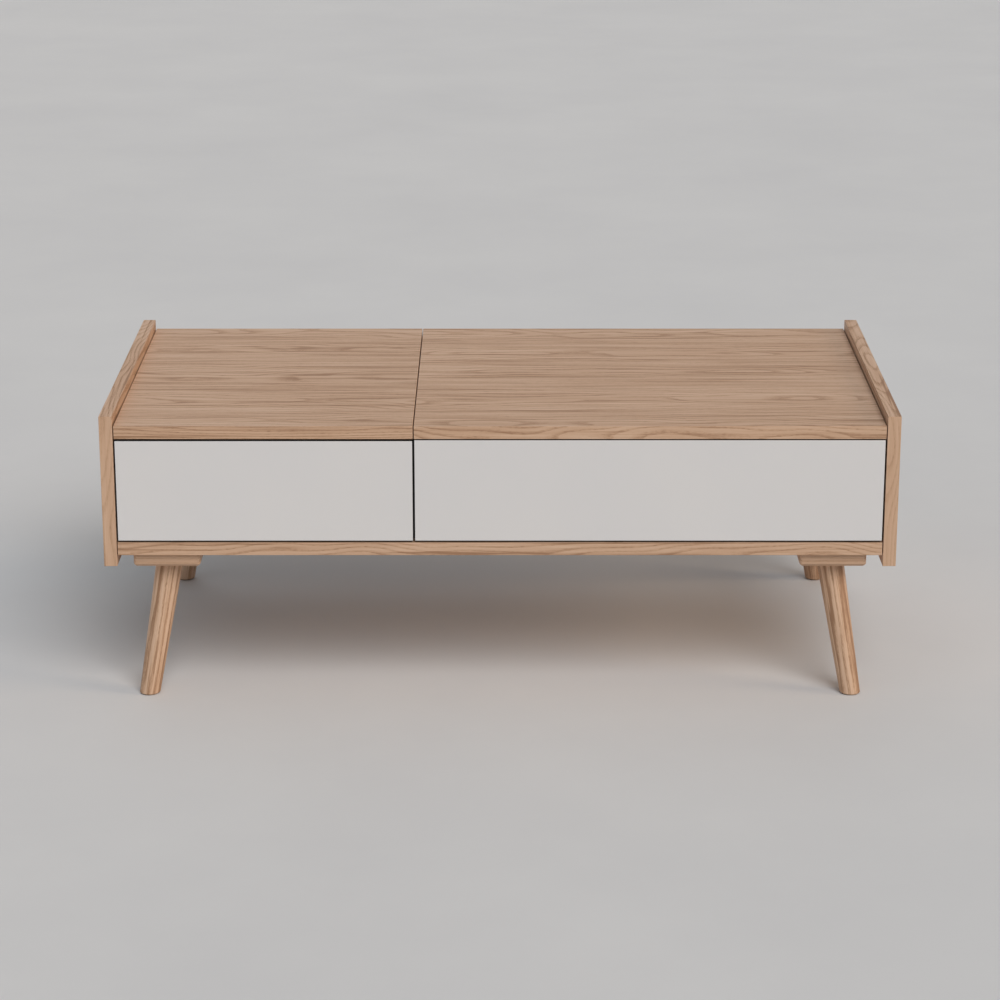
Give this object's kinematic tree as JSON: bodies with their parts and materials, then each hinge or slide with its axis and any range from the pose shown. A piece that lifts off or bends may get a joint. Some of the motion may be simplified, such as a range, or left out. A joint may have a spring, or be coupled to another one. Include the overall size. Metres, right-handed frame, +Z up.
{
  "type": "lift top coffee table",
  "caption": "Low oak coffee table on splayed round legs, with a push-open drawer under the fixed top and a storage compartment under a top that lifts forwards.",
  "frame": {"origin": "on the floor, under the middle of the table", "axes": "+X along the table's width to the right, +Y from front to back, +Z up"},
  "size_m": [1.2, 0.6, 0.45],
  "materials": {
    "oak_veneer": "satin",
    "solid_oak": "satin",
    "white_lacquer": "matte",
    "birch_ply": "matte",
    "beech": "matte",
    "felt": "matte",
    "zinc_steel": "satin",
    "ball_steel": "polished",
    "cam_zinc": "satin",
    "black_steel": "satin",
    "polished_rod": "polished",
    "grey_plastic": "matte",
    "rubber": "matte"
  },
  "bodies": {
    "carcass": {"side_panel_left": "oak_veneer", "side_panel_right": "oak_veneer", "bottom_panel": "oak_veneer", "divider_panel": "oak_veneer", "back_panel": "oak_veneer", "fixed_top": "oak_veneer", "compartment_inner_front": "oak_veneer", "compartment_front": "white_lacquer", "leg_front_left": "solid_oak", "leg_front_right": "solid_oak", "leg_rear_left": "solid_oak", "leg_rear_right": "solid_oak", "leg_block_front_left": "solid_oak", "leg_block_front_right": "solid_oak", "leg_block_rear_left": "solid_oak", "leg_block_rear_right": "solid_oak", "foot_glides": "felt", "leg_bolts": "zinc_steel", "leg_block_screws": "zinc_steel", "cam_locks": "cam_zinc", "cam_bolts": "zinc_steel", "dowels": "beech", "compartment_front_screws": "zinc_steel", "corner_brackets": "zinc_steel", "corner_bracket_screws": "zinc_steel", "runner_cabinet_left": "zinc_steel", "runner_cabinet_right": "zinc_steel", "runner_cabinet_screws": "zinc_steel", "push_latch_housing": "grey_plastic", "lift_base_left": "black_steel", "lift_base_right": "black_steel", "lift_base_pins": "zinc_steel", "lift_base_screws": "zinc_steel", "lid_bumpers": "rubber"},
    "latch_pin": {"push_latch_plunger": "zinc_steel"},
    "drawer": {"drawer_front": "white_lacquer", "drawer_side_left": "birch_ply", "drawer_side_right": "birch_ply", "drawer_inner_front": "birch_ply", "drawer_back": "birch_ply", "drawer_bottom": "birch_ply", "drawer_front_screws": "zinc_steel", "drawer_box_screws": "zinc_steel", "runner_drawer_left": "zinc_steel", "runner_drawer_right": "zinc_steel", "runner_drawer_screws": "zinc_steel"},
    "runner_middles": {"runner_middle_left": "zinc_steel", "runner_middle_right": "zinc_steel"},
    "outer_balls": {"runner_balls_outer": "ball_steel"},
    "inner_balls": {"runner_balls_inner": "ball_steel"},
    "front_arms": {"lift_arms_front": "black_steel", "lift_sync_tube": "black_steel"},
    "rear_arms": {"lift_arms_rear": "black_steel"},
    "lifting_top": {"lift_top": "oak_veneer", "lift_bracket_left": "black_steel", "lift_bracket_right": "black_steel", "lift_bracket_screws": "zinc_steel", "lift_bracket_pins": "zinc_steel"},
    "spring_cylinders": {"gas_cylinders": "black_steel"},
    "spring_rods": {"gas_rods": "polished_rod"}
  },
  "joints": [
    {"name": "drawer_slide", "type": "slide", "parent": "carcass", "child": "drawer", "axis": [0, -1, 0], "range_m": [0, 0.45]},
    {"name": "runner_middle_slide", "type": "slide", "parent": "carcass", "child": "runner_middles", "axis": [0, -1, 0], "range_m": [0, 0.225]},
    {"name": "outer_ball_slide", "type": "slide", "parent": "carcass", "child": "outer_balls", "axis": [0, -1, 0], "range_m": [0, 0.1125]},
    {"name": "inner_ball_slide", "type": "slide", "parent": "carcass", "child": "inner_balls", "axis": [0, -1, 0], "range_m": [0, 0.3375]},
    {"name": "latch_press", "type": "slide", "parent": "carcass", "child": "latch_pin", "axis": [0, 1, 0], "range_m": [0, 0.003], "stiffness_N_per_m": 3000, "springref_m": -0.002},
    {"name": "top_lift", "type": "hinge", "parent": "carcass", "child": "front_arms", "pos_m": [0, -0.19, 0.3636], "axis": [1, 0, 0], "range_deg": [0, 100]},
    {"name": "rear_arm_pivot", "type": "hinge", "parent": "carcass", "child": "rear_arms", "pos_m": [0, -0.14, 0.3316], "axis": [1, 0, 0], "range_deg": [0, 100]},
    {"name": "top_level_pivot", "type": "hinge", "parent": "front_arms", "child": "lifting_top", "pos_m": [0, 0.04766, 0.397], "axis": [1, 0, 0], "range_deg": [-100, 0]},
    {"name": "cylinder_pivot", "type": "hinge", "parent": "carcass", "child": "spring_cylinders", "pos_m": [0, -0.1558, 0.26963], "axis": [1, 0, 0], "range_deg": [0, 50]},
    {"name": "rod_pivot", "type": "hinge", "parent": "front_arms", "child": "spring_rods", "pos_m": [0, -0.09097, 0.37752], "axis": [1, 0, 0], "range_deg": [-50, 0]}
  ],
  "couplings": [
    {"joint": "runner_middle_slide", "follows": "drawer_slide", "ratio": 0.5},
    {"joint": "outer_ball_slide", "follows": "drawer_slide", "ratio": 0.25},
    {"joint": "inner_ball_slide", "follows": "drawer_slide", "ratio": 0.75},
    {"joint": "rear_arm_pivot", "follows": "top_lift", "ratio": 1},
    {"joint": "top_level_pivot", "follows": "top_lift", "ratio": -1},
    {"joint": "cylinder_pivot", "follows": "top_lift", "ratio": 0.5},
    {"joint": "rod_pivot", "follows": "top_lift", "ratio": -0.5}
  ]
}
